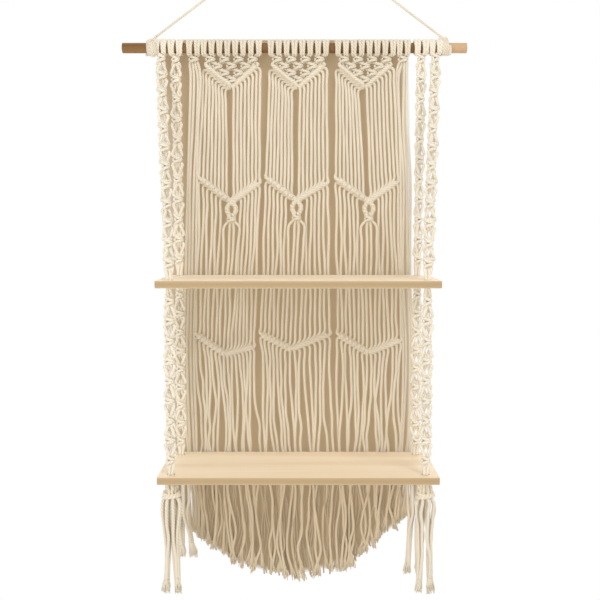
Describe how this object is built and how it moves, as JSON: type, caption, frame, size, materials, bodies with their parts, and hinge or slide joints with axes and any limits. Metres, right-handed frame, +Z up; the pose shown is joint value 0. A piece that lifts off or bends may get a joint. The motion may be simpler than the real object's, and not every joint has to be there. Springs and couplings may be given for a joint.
{
  "type": "macrame wall shelf with its dowel",
  "caption": "Macrame wall shelf: wooden boards on knotted cotton ropes in front of a knotted, fringed curtain, all hung from a wooden dowel on a cord.",
  "frame": {"origin": "underside of the hanging cord where it lies on the nail", "axes": "+X to the right seen from the front, +Y towards the wall, +Z up"},
  "size_m": [0.44, 0.1458, 0.8499],
  "materials": {
    "dowel": "brown satin wood",
    "board": "pale planed birch",
    "cotton": "twisted natural cotton cord"
  },
  "bodies": {
    "root": {"dowel": "dowel", "upper_board": "board", "lower_board": "board", "section_left": "cotton", "section_middle": "cotton", "section_right": "cotton", "side_strands_left": "cotton", "front_rope_left": "cotton", "back_rope_left": "cotton", "front_tassel_left": "cotton", "back_tassel_left": "cotton", "tie_left": "cotton", "side_strands_right": "cotton", "front_rope_right": "cotton", "back_rope_right": "cotton", "front_tassel_right": "cotton", "back_tassel_right": "cotton", "tie_right": "cotton", "hanging_cord": "cotton"}
  },
  "joints": []
}
